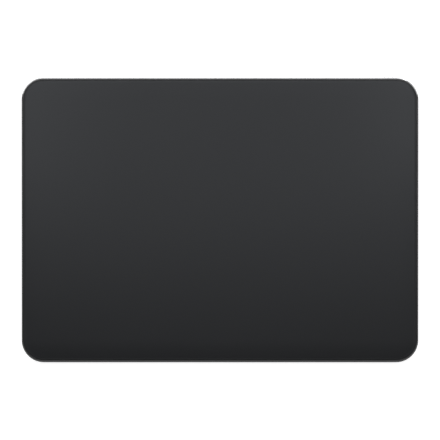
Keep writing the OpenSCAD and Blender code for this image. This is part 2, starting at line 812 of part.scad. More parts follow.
module main_board() color("#0f4a33") difference() {
    translate([-board_w / 2, board_front, board_under_z]) cube([board_w, board_d, board_t]);
    at_board_screws(board_under_z - 1) cylinder(r = screw_r + screw_pass_gap, h = board_t + 2);
    translate([-port_w / 2 - port_notch_gap, port_back_y - port_notch_gap, board_under_z - 1])
        cube([port_w + 2 * port_notch_gap, board_d, board_t + 2]);
}

module board_screws() color("#6f7174") at_board_screws(board_z) screw(board_t + thread_l - fit_gap);

// Drawn steel can over the radio parts, open below
module shield_can() color("#b4b6b8") translate([can_x, can_y, board_z]) difference() {
    block(can_w, can_d, chip_h + 0.5);
    translate([0, 0, -can_wall]) block(can_w - 2 * can_wall, can_d - 2 * can_wall, chip_h + 0.5);
}

// Chips on the main board: [x, distance from the front edge, width, depth]
chips = [[can_x - 4, 7.5, 6, 6], [can_x + 5, 7.5, 4, 4], [24, 5, 6, 6], [24, 12, 4, 3.5], [11.5, 12.8, 5, 3]];

module board_chips() color("#1a1a1c") for (c = chips)
    translate([c[0], board_front + c[1], board_z]) block(c[2], c[3], chip_h);

module board_connectors() color("#d9d4c7") {
    translate([sensor_flex_x, sensor_plug_y, board_z]) block(sensor_flex_w, plug_d, connector_h);
    translate([haptic_cable_x, haptic_plug_y, board_under_z - connector_h])
        block(tape_w + 2, plug_d, connector_h);
    translate([board_w / 2 - tape_tab, block_y - flex_t - 1, board_z]) cube([2.5, 1, switch_flex_h]);
    translate([-battery_lead_w / 2, board_front + tape_tab + fit_gap, board_z])
        cube([battery_lead_w, 2, connector_h]);
}

// CHARGING PORT

module port_shell() color("#c3c5c8") {
    translate([0, port_back_y, rear_z]) difference() {
        stadium_bar(port_w, port_h, port_l);
        translate([0, -1, 0]) stadium_bar(port_w - 2 * port_wall, port_h - 2 * port_wall, port_l + 2);
    }
    for (s = [0, 1]) mirror([s, 0, 0])
        translate([port_w / 2 - port_wall / 2, board_rear - 3, board_z]) cube([port_ear_l, 2, port_ear_t]);
}

module port_block() color("#1b1b1d") translate([0, port_back_y, rear_z])
    stadium_bar(port_w - 2 * port_wall, port_h - 2 * port_wall, port_block_l);

module port_tongue() color("#1b1b1d")
    translate([-tongue_w / 2, port_back_y + port_block_l, rear_z - tongue_t / 2])
    cube([tongue_w, tongue_l, tongue_t]);

module port_contacts() color("#d4af5a") for (i = [0:contact_count - 1], s = [0, 1])
    translate([(i - (contact_count - 1) / 2) * contact_pitch, port_back_y + port_block_l, rear_z])
    mirror([0, 0, s]) translate([-contact_w / 2, 0, tongue_t / 2]) cube([contact_w, contact_l, contact_t]);

// POWER SWITCH

module switch_knob() color("#4a4b4f") {
    translate([knob_x, knob_back_y, rear_z]) stadium_bar(knob_l, knob_h, knob_face_y - knob_back_y);
    for (i = [0:ridge_count - 1]) {
        offset_x = (i - (ridge_count - 1) / 2) * ridge_pitch;
        translate([knob_x + offset_x, knob_face_y - ridge_sink, rear_z - ridge_l / 2])
            cylinder(r = ridge_r, h = ridge_l);
    }
    translate([knob_x - stem_l / 2, carriage_y + carriage_t, rear_z - stem_h / 2])
        cube([stem_l, knob_back_y - carriage_y - carriage_t + fit_gap, stem_h]);
}

module switch_carriage() color("#e4e2dc") {
    translate([knob_x - carriage_l / 2, carriage_y, rear_z - carriage_h / 2])
        cube([carriage_l, carriage_t, carriage_h]);
    translate([knob_x - pin_w / 2, frame_y - pin_l, rear_z - pin_w / 2])
        cube([pin_w, carriage_y - frame_y + pin_l, pin_w]);
}

// Room for the carriage's pin to travel in, from y inwards by a depth
module pin_slot(y, depth) {
    l = switch_travel + pin_w + 2 * fit_gap;
    h = pin_w + 2 * fit_gap;
    translate([slot_x - l / 2, y, rear_z - h / 2]) cube([l, depth, h]);
}

// Guide that stands on the floor against the back wall and holds the carriage in its channel
module switch_frame() color("#26272a") difference() {
    intersection() {
        translate([slot_x - frame_l / 2, frame_y, floor_z])
            cube([frame_l, cavity_rear - frame_y, frame_top_z - floor_z]);
        cavity();
    }
    translate([slot_x - frame_l / 2 + frame_wall, carriage_y - fit_gap, rear_z - carriage_h / 2 - fit_gap])
        cube([frame_l - 2 * frame_wall, rear_wall_t + carriage_t, carriage_h + 2 * fit_gap]);
    pin_slot(frame_y - 1, frame_wall + 2);
}

module switch_contact_block() color("#2f3033") difference() {
    translate([slot_x - block_l / 2, block_y, rear_z - block_h / 2]) cube([block_l, block_d, block_h]);
    pin_slot(frame_y - pin_l - fit_gap, pin_l + 1);
}

// Flat cable on edge, from the main board's plug to the front of the contact block
module switch_cable() color("#b5762a") {
    start = board_w / 2 - tape_tab;
    translate([start, block_y - flex_t, board_z])
        cube([slot_x + block_l / 2 - start, flex_t, switch_flex_h]);
}

// Green strip on the floor of the recess, bared when the knob slides away from it
module switch_indicator() color("#3fae49") translate([slot_x, recess_y, rear_z]) intersection() {
    stadium_bar(slot_l - 2 * fit_gap, slot_h - 2 * fit_gap, indicator_t);
    translate([(stem_l + switch_travel) / 2 + 2 * fit_gap, -1, -slot_h]) cube([slot_l, 2, 2 * slot_h]);
}

// ANTENNA

antenna_top_z = board_z - antenna_t;

module antenna_carrier() color("#232427")
    translate([antenna_x, antenna_y, floor_z]) cube([antenna_w, antenna_d, antenna_top_z - floor_z]);

module antenna_element() color("#c98f3a")
    translate([antenna_x, antenna_y, antenna_top_z]) cube([antenna_w, antenna_d, antenna_t]);

module antenna_lead() color("#202124") {
    start = antenna_x + antenna_w - 2;
    translate([start, antenna_y + antenna_d / 2, board_z + lead_gap + lead_r]) rotate([0, 90, 0])
        cylinder(r = lead_r, h = -board_w / 2 + tape_tab - start);
}

housing();
bottom_cover();
cover_adhesive();
foot_front_left();
foot_front_right();
foot_rear_left();
foot_rear_right();
touch_glass();
glass_adhesive();
sensor_board();
sensor_chips();
stiffener_frame();
drive_rail();
sensor_cable();
gel_pads();
flexure_front_left();
flexure_front_right();
flexure_rear_left();
flexure_rear_right();
flexure_screws();
strain_gauges();
front_gauge_cables();
rear_gauge_cables();
haptic_bracket();
haptic_core();
haptic_coils();
haptic_screws();
haptic_cable();
battery_cell();
battery_adhesive();
battery_board();
battery_cable();
main_board();
board_screws();
shield_can();
board_chips();
board_connectors();
port_shell();
port_block();
port_tongue();
port_contacts();
switch_knob();
switch_carriage();
switch_frame();
switch_contact_block();
switch_cable();
switch_indicator();
antenna_carrier();
antenna_element();
antenna_lead();
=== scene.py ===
# %% [markdown]
# # Dressing a glass-topped trackpad
#
# The real object is a low metal wedge with a plate of black etched glass floating in its rim. A CAD model
# has already settled every size and place, so nothing is moved here. The lesson goes through what is
# left: a camera where the photographer stood, a white studio, and a finish for each kind of surface,
# inside and out.

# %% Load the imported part
import math

import bmesh
import bpy
from mathutils import Matrix, Quaternion, Vector


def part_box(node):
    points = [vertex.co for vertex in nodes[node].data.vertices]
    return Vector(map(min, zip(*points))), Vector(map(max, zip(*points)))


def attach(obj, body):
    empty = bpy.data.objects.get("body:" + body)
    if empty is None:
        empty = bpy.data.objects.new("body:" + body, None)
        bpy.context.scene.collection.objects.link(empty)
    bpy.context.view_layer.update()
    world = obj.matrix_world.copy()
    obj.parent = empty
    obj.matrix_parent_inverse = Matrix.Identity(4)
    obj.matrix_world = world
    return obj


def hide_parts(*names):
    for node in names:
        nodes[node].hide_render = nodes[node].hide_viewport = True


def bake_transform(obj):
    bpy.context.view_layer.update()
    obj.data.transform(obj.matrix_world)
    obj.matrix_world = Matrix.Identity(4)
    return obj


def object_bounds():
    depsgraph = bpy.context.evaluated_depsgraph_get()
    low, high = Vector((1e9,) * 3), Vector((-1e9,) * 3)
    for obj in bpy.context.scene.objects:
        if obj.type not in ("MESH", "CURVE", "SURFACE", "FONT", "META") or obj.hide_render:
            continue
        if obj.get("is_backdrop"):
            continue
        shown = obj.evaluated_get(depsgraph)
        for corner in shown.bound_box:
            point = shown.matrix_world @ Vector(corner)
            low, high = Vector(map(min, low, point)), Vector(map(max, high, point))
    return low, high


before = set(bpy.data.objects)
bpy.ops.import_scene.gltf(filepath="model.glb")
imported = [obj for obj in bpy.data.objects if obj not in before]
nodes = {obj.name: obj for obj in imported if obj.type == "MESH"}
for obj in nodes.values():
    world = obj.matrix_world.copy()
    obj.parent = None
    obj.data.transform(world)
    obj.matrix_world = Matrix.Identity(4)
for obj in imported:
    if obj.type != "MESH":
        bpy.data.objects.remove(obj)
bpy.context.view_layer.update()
MM = 0.001

# %% [markdown]
# ## The camera
#
# The photo looks straight down, with the back edge at the top, and its left and right edges are parallel.
# A short lens would make the raised back edge wider than the front one. A very long lens, far away,
# flattens that to a fifth of a pixel and is still a perspective camera, which other views can move round
# the part.

# %% Stand the camera over the part
PHOTO_PIXELS = 440
PIXELS_PER_MM = 2.4793
SENSOR_MM = 36.0
LENS_MM = 1200.0
DECK_MID_Z = 7.9 * MM
FAR_CLIP = 100

field = PHOTO_PIXELS / PIXELS_PER_MM * MM
camera_data = bpy.data.cameras.new("overhead_camera")
camera_data.lens = LENS_MM
camera_data.sensor_width = SENSOR_MM
camera_data.clip_end = FAR_CLIP
camera = bpy.data.objects.new("overhead_camera", camera_data)
camera.location = (0, 0, DECK_MID_Z + field * LENS_MM / SENSOR_MM)
bpy.context.scene.collection.objects.link(camera)
bpy.context.scene.camera = camera
bpy.context.scene.view_settings.view_transform = "Standard"
print("camera", round(camera.location.z, 2), "m above a field of", round(field / MM, 1), "mm")

# %% [markdown]
# ## Small tools for shader nodes
#
# Every material below is a tree of shader nodes. Three helpers keep the cells short: one finds a socket
# by its name among those in use, one adds a node with its settings and values, and one joins an output to
# an input.

# %% Write the node helpers
def socket(sockets, name):
    return next(s for s in sockets if s.enabled and s.name == name)


def add(tree, kind, values=None, **settings):
    made = tree.nodes.new("ShaderNode" + kind)
    for name, value in settings.items():
        setattr(made, name, value)
    for name, value in (values or {}).items():
        socket(made.inputs, name).default_value = value
    return made


def wire(tree, source, output, target, name):
    tree.links.new(socket(source.outputs, output), socket(target.inputs, name))


print("node helpers ready")

# %% [markdown]
# ## The studio
#
# The photo has a white background and almost no shadow. The floor is pale, and to the camera, to mirrors
# and to glass it also glows a little, so that it turns white without more light on the part, and the
# shadow in the narrow gap under the part stays. The world is a room with pale walls and a dim ceiling:
# the glass looks up at that ceiling, which is why black glass stays black in a bright room.

# %% Lay the floor
FLOOR_RADIUS = 20
FLOOR_SIDES = 96
FLOOR_COLOR = (0.82, 0.82, 0.82, 1)
FLOOR_ROUGHNESS = 0.9
FLOOR_GLOW = 0.8
WHITE = (1, 1, 1, 1)

floor_mesh = bpy.data.meshes.new("floor")
bm = bmesh.new()
bmesh.ops.create_circle(bm, cap_ends=True, segments=FLOOR_SIDES, radius=FLOOR_RADIUS)
bm.to_mesh(floor_mesh)
bm.free()
floor = bpy.data.objects.new("floor", floor_mesh)
bpy.context.scene.collection.objects.link(floor)
floor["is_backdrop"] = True

floor_paint = bpy.data.materials.new("pale_floor")
floor_paint.use_nodes = True
tree = floor_paint.node_tree
shader = tree.nodes["Principled BSDF"]
shader.inputs["Base Color"].default_value = FLOOR_COLOR
shader.inputs["Roughness"].default_value = FLOOR_ROUGHNESS
shader.inputs["Emission Color"].default_value = WHITE
path = add(tree, "LightPath")
seen = add(tree, "Math", operation="MAXIMUM")
seen_through = add(tree, "Math", operation="MAXIMUM")
glow = add(tree, "Math", operation="MULTIPLY")
tree.links.new(path.outputs["Is Camera Ray"], seen.inputs[0])
tree.links.new(path.outputs["Is Glossy Ray"], seen.inputs[1])
tree.links.new(seen.outputs[0], seen_through.inputs[0])
tree.links.new(path.outputs["Is Transmission Ray"], seen_through.inputs[1])
tree.links.new(seen_through.outputs[0], glow.inputs[0])
glow.inputs[1].default_value = FLOOR_GLOW
tree.links.new(glow.outputs[0], shader.inputs["Emission Strength"])
floor_mesh.materials.append(floor_paint)
print("floor radius", FLOOR_RADIUS, "m")

# %% Build the room
WALL_LEVEL = 0.5
CEILING_LEVEL = 0.16
WALL_TOP = 0.55
CEILING_START = 0.85

room = bpy.data.worlds.new("white_room")
bpy.context.scene.world = room
room.use_nodes = True
tree = room.node_tree
direction = add(tree, "TexCoord")
split = add(tree, "SeparateXYZ")
rise = add(tree, "MapRange", {
    "From Min": WALL_TOP, "From Max": CEILING_START, "To Min": WALL_LEVEL, "To Max": CEILING_LEVEL,
}, interpolation_type="SMOOTHSTEP")
wire(tree, direction, "Generated", split, "Vector")
wire(tree, split, "Z", rise, "Value")
tree.nodes["Background"].inputs["Color"].default_value = WHITE
wire(tree, rise, "Result", tree.nodes["Background"], "Strength")
print("walls", WALL_LEVEL, "ceiling", CEILING_LEVEL)

# %% [markdown]
# ## The lamps
#
# The photo's glass is lighter at the back than at the front, so its main lamp hung over the back edge. A
# soft box is an area lamp: close and low, its blurred mirror image covers only the back of the plate and
# fades towards the front. Two small boxes, lower and beside the part, lift the left and right ends. A
# wide box, further back, is what the rolled back edge of the glass mirrors.
#
# Three narrow strips stand far off and low, behind the part and round its back corners. From above only
# the polished edge of the housing mirrors them, which draws the thin bright line there. Narrow strips do
# this without lighting the glass in low views. The two at the corners are tilted, since the edge looks
# higher up at the back than it does at the sides.

# %% Hang the lamps
def soft_box(name, place, aim, size, level, roll):
    lamp = bpy.data.lights.new(name, "AREA")
    lamp.shape = "RECTANGLE"
    lamp.size, lamp.size_y = size
    lamp.energy = level * math.pi * size[0] * size[1]
    made = bpy.data.objects.new(name, lamp)
    made.location = place
    made.rotation_mode = "QUATERNION"
    facing = (Vector(aim) - Vector(place)).to_track_quat("-Z", "Y")
    made.rotation_quaternion = facing @ Quaternion((0, 0, 1), math.radians(roll))
    made.visible_camera = False
    bpy.context.scene.collection.objects.link(made)


LAMPS = {
    # name: place, aim, width and height in metres, level, roll in degrees
    "back_box": ((0, 0.055, 0.22), (0, 0.055, 0), (0.30, 0.20), 0.865, 0),
    "left_box": ((-0.13, 0.055, 0.12), (-0.13, 0.055, 0), (0.13, 0.10), 0.5, 0),
    "right_box": ((0.13, 0.055, 0.12), (0.13, 0.055, 0), (0.13, 0.10), 0.5, 0),
    "roll_box": ((0, 0.4, 0.49), (0, 0.055, 0.01), (1.2, 0.15), 1.4, 0),
    "back_strip": ((0.1, 0.75, 0.083), (0, 0.057, 0.01), (0.7, 0.05), 14.5, 0),
    "left_strip": ((-0.572, 0.549, 0.05), (-0.077, 0.054, 0.01), (0.9, 0.05), 10.0, -4),
    "right_strip": ((0.613, 0.504, 0.048), (0.077, 0.054, 0.01), (0.8, 0.05), 8.0, 4),
}
for name, (place, aim, size, level, roll) in LAMPS.items():
    soft_box(name, place, aim, size, level, roll)
print("lamps", list(LAMPS))

# %% [markdown]
# ## Shared surface effects
#
# Blasted metal, etched glass, moulded plastic and rubber all have a fine grain, and differ only in its
# size. Such an effect is built once as a node group with named sockets, and each material sets its own
# values. All of them read Object coordinates, which are metres here, so a grain of a tenth of a
# millimetre is just that.

# %% Make the group helper and the fine grain
def new_group(name, inputs, outputs):
    group = bpy.data.node_groups.new(name, "ShaderNodeTree")
    for title, value in inputs.items():
        made = group.interface.new_socket(title, in_out="INPUT", socket_type="NodeSocketFloat")
        made.default_value = value
    for title in outputs:
        group.interface.new_socket(title, in_out="OUTPUT", socket_type="NodeSocketFloat")
    return group, group.nodes.new("NodeGroupInput"), group.nodes.new("NodeGroupOutput")


def scaled_position(tree, entry, title):
    """Object position counted in steps of the group's input of that title."""
    position = add(tree, "TexCoord")
    count = add(tree, "Math", operation="DIVIDE")
    count.inputs[0].default_value = 1
    steps = add(tree, "VectorMath", operation="SCALE")
    tree.links.new(entry.outputs[title], count.inputs[1])
    wire(tree, position, "Object", steps, "Vector")
    wire(tree, count, "Value", steps, "Scale")
    return steps


fine_grain, entry, result = new_group("fine_grain", {"Size": 0.1 * MM}, ["Height"])
steps = scaled_position(fine_grain, entry, "Size")
bumps = add(fine_grain, "TexNoise", {"Scale": 1, "Detail": 2, "Roughness": 0.6})
wire(fine_grain, steps, "Vector", bumps, "Vector")
wire(fine_grain, bumps, "Fac", result, "Height")
print("group", fine_grain.name)

# %% [markdown]
# A finish is never even: a hand, a cloth or the process itself leaves wide soft patches that are a little
# smoother or duller. The next group is a slow noise. Noise keeps to the middle of its range, so that part
# is stretched to the range a material asks for.

# %% Make the soft patches
NOISE_LOW = 0.3
NOISE_HIGH = 0.7

soft_patches, entry, result = new_group(
    "soft_patches", {"Size": 20 * MM, "Low": 0.0, "High": 1.0}, ["Value"])
steps = scaled_position(soft_patches, entry, "Size")
clouds = add(soft_patches, "TexNoise", {
    "Scale": 1, "Detail": 4, "Roughness": 0.55, "Distortion": 0.4,
})
spread = add(soft_patches, "MapRange", {"From Min": NOISE_LOW, "From Max": NOISE_HIGH})
wire(soft_patches, steps, "Vector", clouds, "Vector")
wire(soft_patches, clouds, "Fac", spread, "Value")
wire(soft_patches, entry, "Low", spread, "To Min")
wire(soft_patches, entry, "High", spread, "To Max")
wire(soft_patches, spread, "Result", result, "Value")
print("group", soft_patches.name)

# %% [markdown]
# The glass changes towards its edges, so its finish has to know how far a point is from the outline of the
# part, which is a rectangle with rounded corners. The distance has a short formula: fold the plane into
# one quarter, take away the straight part, and measure from the centre of the corner. It is exact and
# needs no mesh tricks.

# %% Make the distance from the outline
HALF_WIDTH = 80 * MM
HALF_DEPTH = 57.45 * MM
CORNER_RADIUS = 9 * MM

outline_band, entry, result = new_group("outline_band", {
    "Half Width": HALF_WIDTH, "Half Depth": HALF_DEPTH, "Corner": CORNER_RADIUS,
    "Start": 0.0, "End": 1 * MM,
}, ["Mask"])
tree = outline_band
position = add(tree, "TexCoord")
quarter = add(tree, "VectorMath", operation="ABSOLUTE")
size = add(tree, "CombineXYZ")
straight = add(tree, "VectorMath", operation="SUBTRACT")
corner = add(tree, "CombineXYZ")
folded = add(tree, "VectorMath", operation="SUBTRACT")
outer = add(tree, "VectorMath", operation="MAXIMUM")
flat = add(tree, "VectorMath", operation="MULTIPLY")
flat.inputs[1].default_value = (1, 1, 0)
reach = add(tree, "VectorMath", operation="LENGTH")
axes = add(tree, "SeparateXYZ")
nearest = add(tree, "Math", operation="MAXIMUM")
inner = add(tree, "Math", operation="MINIMUM")
inner.inputs[1].default_value = 0
total = add(tree, "Math", operation="ADD")
depth = add(tree, "Math", operation="SUBTRACT")
fade = add(tree, "MapRange", {"To Min": 1, "To Max": 0}, interpolation_type="SMOOTHSTEP")
wire(tree, position, "Object", quarter, "Vector")
wire(tree, entry, "Half Width", size, "X")
wire(tree, entry, "Half Depth", size, "Y")
wire(tree, entry, "Corner", corner, "X")
wire(tree, entry, "Corner", corner, "Y")
tree.links.new(size.outputs[0], straight.inputs[0])
tree.links.new(corner.outputs[0], straight.inputs[1])
tree.links.new(quarter.outputs[0], folded.inputs[0])
tree.links.new(straight.outputs[0], folded.inputs[1])
tree.links.new(folded.outputs[0], outer.inputs[0])
tree.links.new(outer.outputs[0], flat.inputs[0])
tree.links.new(flat.outputs[0], reach.inputs[0])
tree.links.new(folded.outputs[0], axes.inputs[0])
tree.links.new(axes.outputs["X"], nearest.inputs[0])
tree.links.new(axes.outputs["Y"], nearest.inputs[1])
tree.links.new(nearest.outputs[0], inner.inputs[0])
tree.links.new(inner.outputs[0], total.inputs[0])
tree.links.new(reach.outputs["Value"], total.inputs[1])
tree.links.new(entry.outputs["Corner"], depth.inputs[0])
tree.links.new(total.outputs[0], depth.inputs[1])
wire(tree, depth, "Value", fade, "Value")
wire(tree, entry, "Start", fade, "From Min")
wire(tree, entry, "End", fade, "From Max")
wire(tree, fade, "Result", result, "Mask")
print("group", outline_band.name)

# %% [markdown]
# Sheet steel, laminated iron and flat cables share another look: fine lines in one direction. A wave
# texture gives even lines, and its distortion breaks them up. The pitch and the unevenness are sockets.
# The direction of the bands is a setting that no socket can change, so one function makes a group for
# each of two directions.

# %% Make the fine lines
def line_group(name, axis):
    group, entry, result = new_group(name, {"Pitch": 0.2 * MM, "Uneven": 1.0}, ["Height"])
    steps = scaled_position(group, entry, "Pitch")
    lines = add(
        group, "TexWave", {"Scale": 1, "Detail": 2},
        wave_type="BANDS", bands_direction=axis, wave_profile="SIN")
    wire(group, steps, "Vector", lines, "Vector")
    wire(group, entry, "Uneven", lines, "Distortion")
    wire(group, lines, "Fac", result, "Height")
    return group


lines_along_y = line_group("lines_along_y", "X")
lines_along_x = line_group("lines_along_x", "Y")
print("groups", lines_along_y.name, lines_along_x.name)

# %% [markdown]
# A circuit board shows its copper through the lacquer: straight tracks in two directions, and small round
# pads. A brick pattern gives the tracks, since its mortar runs in steps, and Voronoi cells give the pads.

# %% Make the board's copper
PAD_EDGE = 0.16
PAD_FADE = 0.22

board_copper, entry, result = new_group("board_copper", {"Pitch": 0.9 * MM}, ["Mask"])
tree = board_copper
steps = scaled_position(tree, entry, "Pitch")
tracks = add(tree, "TexBrick", {
    "Scale": 1, "Mortar Size": 0.06, "Mortar Smooth": 0.3, "Row Height": 0.5, "Brick Width": 3.0,
}, offset=0.37, offset_frequency=3)
cells = add(tree, "TexVoronoi", {"Scale": 0.8, "Randomness": 0.6})
pad_spots = add(tree, "MapRange", {
    "From Min": PAD_EDGE, "From Max": PAD_FADE, "To Min": 1, "To Max": 0,
})
either = add(tree, "Math", operation="MAXIMUM")
wire(tree, steps, "Vector", tracks, "Vector")
wire(tree, steps, "Vector", cells, "Vector")
wire(tree, cells, "Distance", pad_spots, "Value")
tree.links.new(tracks.outputs["Fac"], either.inputs[0])
tree.links.new(pad_spots.outputs["Result"], either.inputs[1])
wire(tree, either, "Value", result, "Mask")
print("group", board_copper.name)

# %% [markdown]
# ## Starting a finish
#
# Each finish starts from the Principled shader. What is the same all over the surface is a plain number
# on the shader's own socket; only what changes over the surface comes through nodes. Three steps recur,
# so they get a function each: patches of roughness, a bump from a height, and two colours mixed by a
# mask.

# %% Write the finish helpers
def new_finish(name, color, **constants):
    made = bpy.data.materials.new(name)
    made.use_nodes = True
    shader = made.node_tree.nodes["Principled BSDF"]
    shader.inputs["Base Color"].default_value = (*color, 1)
    for title, value in constants.items():
        shader.inputs[title.replace("_", " ")].default_value = value
    made.diffuse_color = (*color, 1)
    return made


def use_group(tree, group, **values):
    made = add(tree, "Group")
    made.node_tree = group
    for title, value in values.items():
        made.inputs[title.replace("_", " ")].default_value = value
    return made


def vary_roughness(finish, size, low, high):
    tree = finish.node_tree
    patches = use_group(tree, soft_patches, Size=size, Low=low, High=high)
    wire(tree, patches, "Value", tree.nodes["Principled BSDF"], "Roughness")


def bump_from(finish, group, strength, height, under=None, **values):
    tree = finish.node_tree
    source = use_group(tree, group, **values)
    bump = add(tree, "Bump", {"Strength": strength, "Distance": height})
    tree.links.new(source.outputs[0], bump.inputs["Height"])
    if under:
        wire(tree, under, "Normal", bump, "Normal")
    wire(tree, bump, "Normal", tree.nodes["Principled BSDF"], "Normal")
    return source


def mix_color(finish, mask, first, second):
    tree = finish.node_tree
    mix = add(tree, "Mix", data_type="RGBA")
    socket(mix.inputs, "A").default_value = (*first, 1)
    socket(mix.inputs, "B").default_value = (*second, 1)
    tree.links.new(mask, socket(mix.inputs, "Factor"))
    wire(tree, mix, "Result", tree.nodes["Principled BSDF"], "Base Color")
    return mix


def tint(color, share):
    return tuple(share * c for c in color)


print("finish helpers ready")

# %% [markdown]
# ## Anodised metal
#
# The housing and the switch are blasted aluminium with a near-black dye in the oxide. It is a metal, so
# its colour is the colour of its mirror image, and the blasting makes that image soft. The top edge is
# cut after blasting, which leaves a narrow polished slope without grain. The slope faces half up, between
# the walls and the flats, so the direction a surface faces is enough to find it, and no painted mask is
# needed.

# %% Find the cut edge
BODY_COLOR = (0.104, 0.1045, 0.106)
WALL_END = 0.3
SLOPE_START = 0.5
SLOPE_END = 0.85
FLAT_START = 0.95

body_metal = new_finish("anodised_body", BODY_COLOR, Metallic=1.0)
tree = body_metal.node_tree
facing = add(tree, "TexCoord")
upward = add(tree, "SeparateXYZ")
off_wall = add(tree, "MapRange", {"From Min": WALL_END, "From Max": SLOPE_START})
off_flat = add(tree, "MapRange", {
    "From Min": SLOPE_END, "From Max": FLAT_START, "To Min": 1, "To Max": 0,
})
cut_edge = add(tree, "Math", operation="MULTIPLY")
wire(tree, facing, "Normal", upward, "Vector")
wire(tree, upward, "Z", off_wall, "Value")
wire(tree, upward, "Z", off_flat, "Value")
tree.links.new(off_flat.outputs["Result"], cut_edge.inputs[0])
tree.links.new(off_wall.outputs["Result"], cut_edge.inputs[1])
print("mask of the cut edge in", body_metal.name)

# %% [markdown]
# The mask then steers three things. The edge is smoother than the blasted rest, a little darker, and has
# no grain. The grain itself is a bump and a speckle of lighter and darker dots, since a bump alone is
# lost from far away.

# %% Blast the metal and polish its edge
EDGE_ROUGHNESS = 0.12
EDGE_TINT = 0.86
DARK_SPECK = 0.75
LIGHT_SPECK = 1.25

shader = tree.nodes["Principled BSDF"]
patches = use_group(tree, soft_patches, Size=14 * MM, Low=0.46, High=0.54)
rough = add(tree, "MapRange", {"To Max": EDGE_ROUGHNESS})
wire(tree, cut_edge, "Value", rough, "Value")
wire(tree, patches, "Value", rough, "To Min")
wire(tree, rough, "Result", shader, "Roughness")

grain = use_group(tree, fine_grain, Size=0.1 * MM)
speckle = mix_color(
    body_metal, grain.outputs["Height"], tint(BODY_COLOR, DARK_SPECK), tint(BODY_COLOR, LIGHT_SPECK))
edge_color = add(tree, "Mix", data_type="RGBA")
socket(edge_color.inputs, "B").default_value = (*tint(BODY_COLOR, EDGE_TINT), 1)
wire(tree, cut_edge, "Value", edge_color, "Factor")
wire(tree, speckle, "Result", edge_color, "A")
wire(tree, edge_color, "Result", shader, "Base Color")

cut_away = add(tree, "MapRange", {"To Max": 0.0})
bump = add(tree, "Bump", {"Strength": 0.45, "Distance": 0.016 * MM})
wire(tree, cut_edge, "Value", cut_away, "Value")
wire(tree, grain, "Height", cut_away, "To Min")
wire(tree, cut_away, "Result", bump, "Height")
wire(tree, bump, "Normal", shader, "Normal")
print("finish", body_metal.name)

# %% [markdown]
# ## Etched glass
#
# The plate is clear glass, painted black underneath and etched to a silky matt on top, so that a finger
# glides. From above the black shows with a soft sheen over it. A see-through material with a black back
# would cost light paths and change nothing that can be seen, so the glass is an opaque black with the
# gloss of glass. Along the rolled edge the black is painted a little lighter, as a painted highlight.
#
# The plate falls away towards its edges. The solid has that crown, and a wide, shallow bump adds the last
# two degrees of tilt. It starts as far outside the outline as it reaches inside, so it is steepest at the
# outline.

# %% Make the glass
GLASS_COLOR = (0.0105, 0.0108, 0.0115)
GLASS_SHEEN = (0.91, 0.945, 1, 1)
ROLL_START = 1.2 * MM
ROLL_END = 2.2 * MM
# Painted highlight: how much lighter the black is painted along the rolled edge.
ROLL_HIGHLIGHT_TINT = 1.7
CROWN_REACH = 8 * MM
CROWN_FALL = 0.4 * MM

glass = new_finish("touch_glass", GLASS_COLOR, IOR=1.5, Specular_Tint=GLASS_SHEEN)
tree = glass.node_tree
# Painted highlight: the base colour is lighter in a band along the rolled edge.
rolled_edge_highlight = use_group(tree, outline_band, Start=ROLL_START, End=ROLL_END)
mix_color(glass, rolled_edge_highlight.outputs["Mask"], GLASS_COLOR, tint(GLASS_COLOR, ROLL_HIGHLIGHT_TINT))
vary_roughness(glass, size=45 * MM, low=0.365, high=0.395)
crown = use_group(tree, outline_band, Start=-CROWN_REACH, End=CROWN_REACH)
fall = add(tree, "Bump", {"Strength": 1.0, "Distance": CROWN_FALL}, invert=True)
wire(tree, crown, "Mask", fall, "Height")
bump_from(glass, fine_grain, strength=0.05, height=0.004 * MM, under=fall, Size=0.06 * MM)
print("finish", glass.name)

# %% [markdown]
# ## Moulded plastics and films
#
# Moulded plastic takes the spark-eroded grain of its mould. The cover under the part, the connectors,
# chips and films differ in colour, gloss and size of grain, so they are rows of one table.

# %% Make the plastics
PLASTICS = {
    # slot: colour, roughness low and high, grain size and height in mm
    "cover_plastic": ((0.03, 0.03, 0.032), 0.55, 0.68, 0.18, 0.03),
    "adhesive_film": ((0.012, 0.012, 0.013), 0.6, 0.8, 0.5, 0.01),
    "chip": ((0.012, 0.012, 0.013), 0.5, 0.62, 0.08, 0.01),
    "connector_plastic": ((0.68, 0.64, 0.55), 0.45, 0.6, 0.25, 0.01),
    "black_plastic": ((0.014, 0.014, 0.015), 0.42, 0.58, 0.15, 0.015),
    "carriage_plastic": ((0.75, 0.74, 0.7), 0.4, 0.5, 0.2, 0.01),
    "battery_tape": ((0.6, 0.6, 0.57), 0.6, 0.8, 0.4, 0.02),
    "indicator_green": ((0.05, 0.42, 0.07), 0.3, 0.4, 0.3, 0.005),
}
DARK_SHADE = 0.95
LIGHT_SHADE = 1.05

finishes = {"anodised_body": body_metal, "touch_glass": glass}
for slot, (color, low, high, grain_size, height) in PLASTICS.items():
    plastic = new_finish(slot, color, IOR=1.48)
    vary_roughness(plastic, size=9 * MM, low=low, high=high)
    bump_from(plastic, fine_grain, strength=0.35, height=height * MM, Size=grain_size * MM)
    shade = use_group(plastic.node_tree, soft_patches, Size=4 * MM)
    mix_color(plastic, shade.outputs["Value"], tint(color, DARK_SHADE), tint(color, LIGHT_SHADE))
    finishes[slot] = plastic
print("plastics", list(PLASTICS))

# %% [markdown]
# ## Rubber and gel
#
# The feet are a matt rubber that picks up a little dust. The damping pads are a translucent blue-grey
# gel, with light going a little way in.

# %% Make the rubber and the gel
RUBBER_COLOR = (0.02, 0.02, 0.021)
DUST_TINT = 1.5
rubber = new_finish("foot_rubber", RUBBER_COLOR, IOR=1.5)
vary_roughness(rubber, size=3 * MM, low=0.72, high=0.9)
bump_from(rubber, fine_grain, strength=0.4, height=0.03 * MM, Size=0.2 * MM)
dusty = use_group(rubber.node_tree, soft_patches, Size=1.2 * MM)
mix_color(rubber, dusty.outputs["Value"], RUBBER_COLOR, tint(RUBBER_COLOR, DUST_TINT))

